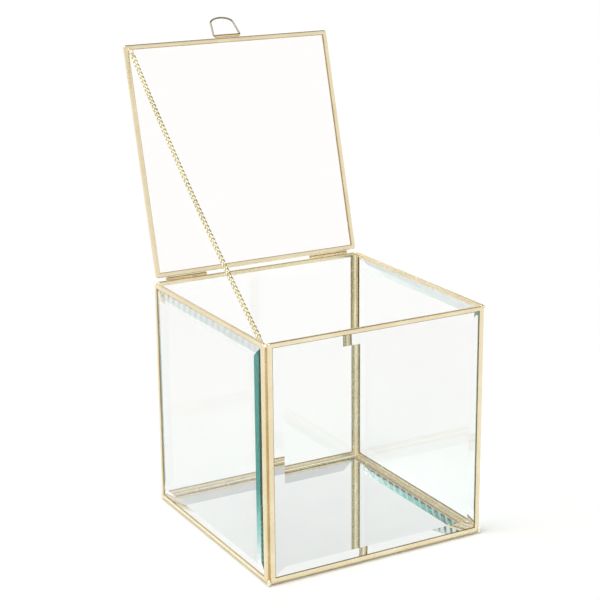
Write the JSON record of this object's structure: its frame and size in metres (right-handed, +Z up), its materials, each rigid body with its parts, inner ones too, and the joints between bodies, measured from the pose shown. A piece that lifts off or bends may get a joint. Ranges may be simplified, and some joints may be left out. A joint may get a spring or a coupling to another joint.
{
  "type": "wedding card box",
  "caption": "Square clear glass card box with brass-framed bevelled panes, a mirrored base, a hinged glass lid held open by a stay chain, and a ring pull.",
  "frame": {"origin": "middle of the flat underside of the base", "axes": "+Z up, -Y towards the front and the lid's free edge when closed, +Y towards the hinges, +X to the right seen from the front"},
  "size_m": [0.2052, 0.27, 0.412],
  "materials": {
    "antique_brass": "brushed, lightly patinated",
    "gold_solder": "smooth solder bead",
    "pin_brass": "satin",
    "chain_gold": "polished",
    "bevelled_glass": "clear, bevelled on the outer face",
    "lid_glass": "clear, plain",
    "mirror": "silvered on the back",
    "backing": "thin felt"
  },
  "bodies": {
    "box": {"front_came": "antique_brass", "back_came": "antique_brass", "left_came": "antique_brass", "right_came": "antique_brass", "base_came": "antique_brass", "front_glass": "bevelled_glass", "back_glass": "bevelled_glass", "left_glass": "bevelled_glass", "right_glass": "bevelled_glass", "base_mirror": "mirror", "base_backing": "backing", "solder_top_front_left": "gold_solder", "solder_top_front_right": "gold_solder", "solder_top_back_left": "gold_solder", "solder_top_back_right": "gold_solder", "solder_bottom_front_left": "gold_solder", "solder_bottom_front_right": "gold_solder", "solder_bottom_back_left": "gold_solder", "solder_bottom_back_right": "gold_solder", "left_hinge_outer_knuckle": "antique_brass", "left_hinge_inner_knuckle": "antique_brass", "left_hinge_pin": "pin_brass", "right_hinge_outer_knuckle": "antique_brass", "right_hinge_inner_knuckle": "antique_brass", "right_hinge_pin": "pin_brass", "box_chain_eye": "antique_brass"},
    "lid": {"lid_came": "antique_brass", "lid_glass": "lid_glass", "left_hinge_lid_knuckle": "antique_brass", "right_hinge_lid_knuckle": "antique_brass", "ring_tube": "antique_brass", "lid_chain_eye": "antique_brass"},
    "ring": {"ring_pull": "antique_brass"},
    "chain_lower": {"chain_lower": "chain_gold"},
    "chain_bend_1": {"chain_bend_1": "chain_gold"},
    "chain_bend_2": {"chain_bend_2": "chain_gold"},
    "chain_upper": {"chain_upper": "chain_gold"}
  },
  "joints": [
    {"name": "lid_hinge", "type": "hinge", "parent": "box", "child": "lid", "pos_m": [0, 0.0996, 0.2016], "axis": [1, 0, 0], "range_deg": [0, 105.2]},
    {"name": "ring_hinge", "type": "hinge", "parent": "lid", "child": "ring", "pos_m": [0, 0.15291, 0.39706], "axis": [1, 0, 0], "range_deg": [-80, 111]},
    {"name": "chain_lower_swing", "type": "hinge", "parent": "box", "child": "chain_lower", "pos_m": [-0.0965, -0.0865, 0.1978], "axis": [0.9999, -0.0144, -0.0018], "range_deg": [-120.6, 0]},
    {"name": "chain_bend_1_swing", "type": "hinge", "parent": "chain_lower", "child": "chain_bend_1", "pos_m": [-0.09469, 0.02837, 0.28535], "axis": [0.8887, -0.2978, 0.3487], "range_deg": [-49.2, 0]},
    {"name": "chain_bend_2_swing", "type": "hinge", "parent": "chain_bend_1", "child": "chain_bend_2", "pos_m": [-0.09463, 0.03181, 0.28815], "axis": [0.8372, -0.3539, 0.417], "range_deg": [-51, 0]},
    {"name": "chain_upper_swing", "type": "hinge", "parent": "lid", "child": "chain_upper", "pos_m": [-0.0928, 0.14769, 0.38853], "axis": [0.9999, -0.0022, -0.0156], "range_deg": [-49.5, 0]}
  ],
  "couplings": [
    {"joint": "chain_lower_swing", "follows": "lid_hinge", "ratio": -1.1437},
    {"joint": "chain_bend_1_swing", "follows": "lid_hinge", "ratio": -0.4648},
    {"joint": "chain_bend_2_swing", "follows": "lid_hinge", "ratio": -0.48197},
    {"joint": "chain_upper_swing", "follows": "lid_hinge", "ratio": -0.46722}
  ]
}
